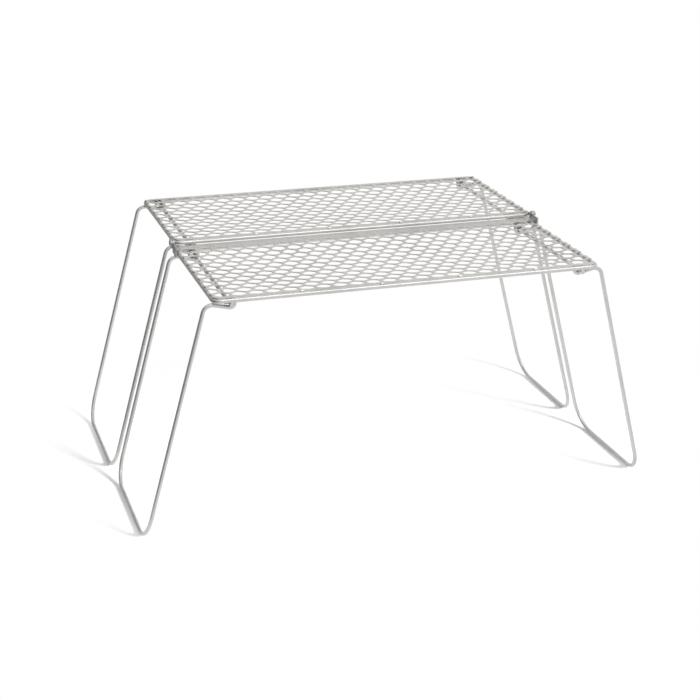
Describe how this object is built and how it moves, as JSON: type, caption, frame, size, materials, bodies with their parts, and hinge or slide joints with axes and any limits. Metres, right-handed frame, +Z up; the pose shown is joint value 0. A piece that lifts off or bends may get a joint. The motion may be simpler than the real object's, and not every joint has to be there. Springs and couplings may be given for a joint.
{
  "type": "folding wire cooling rack",
  "caption": "Folding cooling rack of wire-framed expanded-metal panels, hinged side by side, on splayed U-shaped wire legs that fold up beneath.",
  "frame": {"origin": "on the floor under the middle of the rack, the centre of the open rack's lowest face", "axes": "+X along the panels and the fold line, towards the right-hand legs; +Y to the rear panel; +Z up"},
  "size_m": [0.5476, 0.3404, 0.2581],
  "materials": {
    "mesh_steel": "bright nickel-like plating over expanded steel sheet, softly worn",
    "frame_wire": "bright plated round wire, satin",
    "leg_wire": "bright plated round wire, satin",
    "weld_metal": "small resistance-weld beads, plated over",
    "hinge_steel": "stamped ears and headed rivets, plated, slightly darker at the edges"
  },
  "bodies": {
    "rear_panel": {"rear_frame_rod": "hinge_steel", "rear_left_cross_rod": "hinge_steel", "rear_right_cross_rod": "hinge_steel", "rear_mesh_sheet": "mesh_steel", "rear_tack_welds": "weld_metal", "rear_rod_welds": "weld_metal", "rear_left_hinge_ear": "hinge_steel", "rear_right_hinge_ear": "hinge_steel", "left_hinge_rivet": "hinge_steel", "right_hinge_rivet": "hinge_steel"},
    "front_panel": {"front_frame_rod": "frame_wire", "front_left_cross_rod": "frame_wire", "front_right_cross_rod": "frame_wire", "front_mesh_sheet": "mesh_steel", "front_tack_welds": "weld_metal", "front_rod_welds": "weld_metal", "front_left_hinge_ear": "hinge_steel", "front_right_hinge_ear": "hinge_steel"},
    "rear_left_leg": {"rear_left_leg": "leg_wire"},
    "rear_right_leg": {"rear_right_leg": "leg_wire"},
    "front_left_leg": {"front_left_leg": "leg_wire"},
    "front_right_leg": {"front_right_leg": "leg_wire"}
  },
  "joints": [
    {"name": "panel_fold", "type": "hinge", "parent": "rear_panel", "child": "front_panel", "pos_m": [0, 0, 0.255], "axis": [-1, 0, 0], "range_deg": [0, 180]},
    {"name": "rear_left_leg_fold", "type": "hinge", "parent": "rear_panel", "child": "rear_left_leg", "pos_m": [-0.181, 0.0852, 0.2492], "axis": [0, -1, 0], "range_deg": [0, 110]},
    {"name": "rear_right_leg_fold", "type": "hinge", "parent": "rear_panel", "child": "rear_right_leg", "pos_m": [0.181, 0.0852, 0.2492], "axis": [0, 1, 0], "range_deg": [0, 110]},
    {"name": "front_left_leg_fold", "type": "hinge", "parent": "front_panel", "child": "front_left_leg", "pos_m": [-0.181, -0.0852, 0.2422], "axis": [0, -1, 0], "range_deg": [0, 110]},
    {"name": "front_right_leg_fold", "type": "hinge", "parent": "front_panel", "child": "front_right_leg", "pos_m": [0.181, -0.0852, 0.2422], "axis": [0, 1, 0], "range_deg": [0, 110]}
  ]
}
